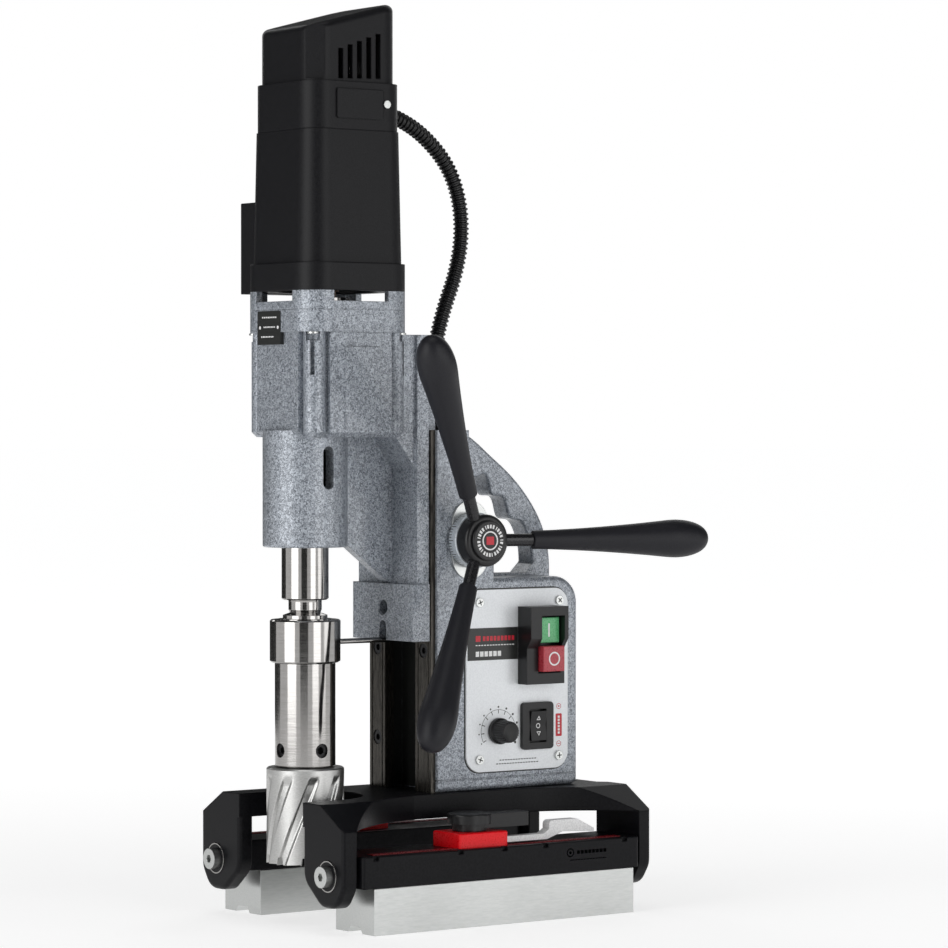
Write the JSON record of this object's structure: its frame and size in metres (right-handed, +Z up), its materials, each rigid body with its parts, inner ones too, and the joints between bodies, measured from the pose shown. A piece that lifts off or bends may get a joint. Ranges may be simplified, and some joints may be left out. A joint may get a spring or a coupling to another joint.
{
  "type": "magnetic drill press",
  "caption": "Portable drilling machine on two swivelling switchable magnets, with rack feed, annular cutter, motor head and control panel.",
  "frame": {"origin": "the point on the work surface under the spindle axis", "axes": "+Z up along the spindle, -Y the cutter side, +Y the carry handle side, +X the control panel side"},
  "size_m": [0.211, 0.3135, 0.6475],
  "materials": {
    "black_coat": "satin black powder coat on aluminium",
    "hammertone": "grey-blue hammertone enamel on an aluminium casting",
    "ground_steel": "ground bright steel",
    "zinc_steel": "satin zinc plate",
    "black_screws": "black oxide",
    "cutter_steel": "fine ground tool steel",
    "bronze": "bearing bronze",
    "magnet": "nickel-plated magnet",
    "laminations": "varnished core and copper winding",
    "motor_plastic": "fine-grained black moulding",
    "black_plastic": "satin black moulding",
    "grip_rubber": "soft-touch black",
    "panel": "light grey printed plate",
    "red_plastic": "gloss red",
    "green_plastic": "gloss green",
    "circuit_board": "green board with parts"
  },
  "bodies": {
    "stand": {"base_bridge": "black_coat", "pivot_bushes": "ground_steel", "pivot_screws": "zinc_steel", "frame_casting": "hammertone", "base_bolts": "black_screws", "slide_rails": "ground_steel", "rail_screws": "black_screws", "control_panel": "panel", "panel_screws": "zinc_steel", "switch_housing": "black_plastic", "rocker_frame": "black_plastic", "potentiometer": "black_plastic", "control_board": "circuit_board", "mains_gland": "black_plastic", "bearing_plates": "zinc_steel", "pinion_bushes": "bronze", "cable_conduit": "black_plastic"},
    "start_button": {"start_button": "green_plastic"},
    "stop_button": {"stop_button": "red_plastic"},
    "direction_rocker": {"direction_rocker": "black_plastic"},
    "speed_knob": {"speed_knob": "black_plastic"},
    "feed": {"pinion_shaft": "ground_steel", "dial_ring": "zinc_steel", "feed_hub": "black_plastic", "hub_cap": "black_plastic", "feed_rods": "zinc_steel", "feed_grips": "grip_rubber"},
    "head": {"head_casting": "hammertone", "feed_rack": "ground_steel", "motor_adapter": "hammertone", "head_screws": "zinc_steel", "spindle_bearings": "ground_steel", "motor_housing": "motor_plastic", "motor_cap": "motor_plastic", "brush_covers": "motor_plastic", "electronics_box": "motor_plastic", "stator": "laminations", "motor_bearings": "ground_steel", "coolant_collar": "ground_steel", "collar_rod": "ground_steel"},
    "spindle": {"spindle": "ground_steel", "spindle_gear": "ground_steel", "cutter_arbor": "ground_steel", "arbor_screws": "black_screws", "annular_cutter": "cutter_steel"},
    "idler": {"idler_gear": "ground_steel"},
    "rotor": {"armature": "laminations", "cooling_fan": "motor_plastic"},
    "magnet_right": {"pole_shoes_right": "zinc_steel", "magnet_housing_right": "black_coat", "switch_block_right": "red_plastic"},
    "magnet_left": {"pole_shoes_left": "zinc_steel", "magnet_housing_left": "black_coat", "switch_block_left": "red_plastic"},
    "switch_right": {"magnet_rotor_right": "magnet", "switch_knob_right": "black_plastic"},
    "switch_left": {"magnet_rotor_left": "magnet", "switch_knob_left": "black_plastic"},
    "lever_right": {"release_lever_right": "zinc_steel"},
    "lever_left": {"release_lever_left": "zinc_steel"}
  },
  "joints": [
    {"name": "head_slide", "type": "slide", "parent": "stand", "child": "head", "axis": [0, 0, 1], "range_m": [-0.1, 0.06], "deforming": ["cable_conduit"]},
    {"name": "feed_turn", "type": "hinge", "parent": "stand", "child": "feed", "pos_m": [0, 0.113, 0.2686], "axis": [1, 0, 0], "range_deg": [-230, 383]},
    {"name": "spindle_spin", "type": "hinge", "parent": "head", "child": "spindle", "pos_m": [0, 0, 0.3], "axis": [0, 0, 1], "continuous": true},
    {"name": "idler_spin", "type": "hinge", "parent": "head", "child": "idler", "pos_m": [0.02014, 0.01305, 0.39], "axis": [0, 0, 1], "continuous": true},
    {"name": "rotor_spin", "type": "hinge", "parent": "head", "child": "rotor", "pos_m": [0, 0.019, 0.5], "axis": [0, 0, 1], "continuous": true},
    {"name": "magnet_right_swivel", "type": "hinge", "parent": "stand", "child": "magnet_right", "pos_m": [0.0715, 0.1051, 0.0403], "axis": [0, 1, 0], "range_deg": [-8, 25]},
    {"name": "magnet_left_swivel", "type": "hinge", "parent": "stand", "child": "magnet_left", "pos_m": [-0.0715, 0.1051, 0.0403], "axis": [0, 1, 0], "range_deg": [-25, 8]},
    {"name": "switch_right_turn", "type": "hinge", "parent": "magnet_right", "child": "switch_right", "pos_m": [0.0735, 0.0895, 0.06], "axis": [0, 0, 1], "range_deg": [-180, 0]},
    {"name": "switch_left_turn", "type": "hinge", "parent": "magnet_left", "child": "switch_left", "pos_m": [-0.0735, 0.0895, 0.06], "axis": [0, 0, 1], "range_deg": [0, 180]},
    {"name": "release_right", "type": "hinge", "parent": "magnet_right", "child": "lever_right", "pos_m": [0.082, 0.1058, 0.0585], "axis": [1, 0, 0], "range_deg": [0, 6], "stiffness_Nm_per_rad": 0.6},
    {"name": "release_left", "type": "hinge", "parent": "magnet_left", "child": "lever_left", "pos_m": [-0.082, 0.1058, 0.0585], "axis": [1, 0, 0], "range_deg": [0, 6], "stiffness_Nm_per_rad": 0.6},
    {"name": "start_press", "type": "slide", "parent": "stand", "child": "start_button", "axis": [1, 0, 0], "range_m": [-0.003, 0], "stiffness_N_per_m": 300},
    {"name": "stop_press", "type": "slide", "parent": "stand", "child": "stop_button", "axis": [1, 0, 0], "range_m": [-0.003, 0], "stiffness_N_per_m": 300},
    {"name": "direction_tilt", "type": "hinge", "parent": "stand", "child": "direction_rocker", "pos_m": [0.0386, 0.1715, 0.1335], "axis": [0, 1, 0], "range_deg": [-7, 7]},
    {"name": "speed_turn", "type": "hinge", "parent": "stand", "child": "speed_knob", "pos_m": [0.05, 0.138, 0.131], "axis": [1, 0, 0], "range_deg": [-135, 135]}
  ],
  "couplings": [
    {"joint": "feed_turn", "follows": "head_slide", "rad_per_m": -66.667},
    {"joint": "idler_spin", "follows": "spindle_spin", "ratio": -3},
    {"joint": "rotor_spin", "follows": "spindle_spin", "ratio": 7.5}
  ]
}
